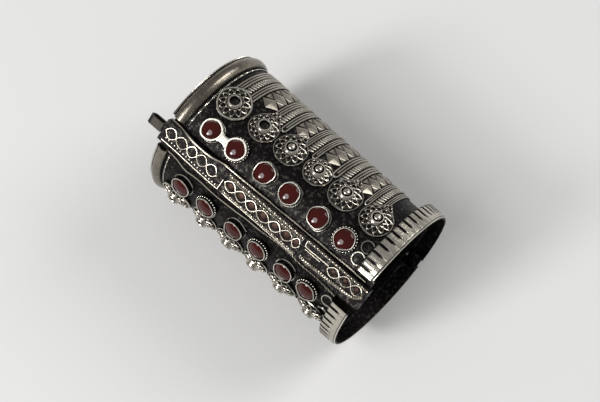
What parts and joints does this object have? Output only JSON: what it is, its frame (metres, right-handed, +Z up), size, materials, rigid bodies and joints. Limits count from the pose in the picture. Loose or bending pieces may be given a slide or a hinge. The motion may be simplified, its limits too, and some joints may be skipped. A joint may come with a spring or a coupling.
{
  "type": "hinged cuff bracelet",
  "caption": "Tall tapered tubular silver cuff in two hinged halves, closed by a flat pin through box knuckles, set with cabochons and domed rosettes between bands.",
  "frame": {"origin": "centre of the bounding box in X and Y, on the surface that the cuff lies on", "axes": "+X along the cuff from the plain rim to the ribbed rim, +Z up, the clasp line up and towards -Y"},
  "size_m": [0.1112, 0.0676, 0.0676],
  "materials": {
    "silver": "oxidised silver, worn bright on raised edges",
    "pin": "dull brown-grey tarnished silver",
    "carnelian": "polished dark red cabochon"
  },
  "bodies": {
    "lower": {"lower_half": "silver", "hinge_pin": "silver", "stone_c1": "carnelian", "stone_c2": "carnelian", "stone_c3": "carnelian", "stone_c4": "carnelian", "stone_c5": "carnelian", "stone_c6": "carnelian", "stone_d1": "carnelian", "stone_d2": "carnelian", "stone_d3": "carnelian", "stone_d4": "carnelian", "stone_d5": "carnelian", "stone_d6": "carnelian"},
    "upper": {"upper_half": "silver", "stone_a1": "carnelian", "stone_a2": "carnelian", "stone_a3": "carnelian", "stone_a4": "carnelian", "stone_a5": "carnelian", "stone_a6": "carnelian", "stone_b1": "carnelian", "stone_b2": "carnelian", "stone_b3": "carnelian", "stone_b4": "carnelian", "stone_b5": "carnelian", "stone_b6": "carnelian"},
    "pin": {"clasp_pin": "pin"}
  },
  "joints": [
    {"name": "cuff_hinge", "type": "hinge", "parent": "lower", "child": "upper", "pos_m": [0.00351, 0.02118, 0.00864], "axis": [-0.9997, 0.0158, -0.0189], "range_deg": [0, 90]},
    {"name": "clasp_pin_slide", "type": "slide", "parent": "upper", "child": "pin", "axis": [-0.9997, -0.0158, 0.0189], "range_m": [0, 0.105]}
  ]
}
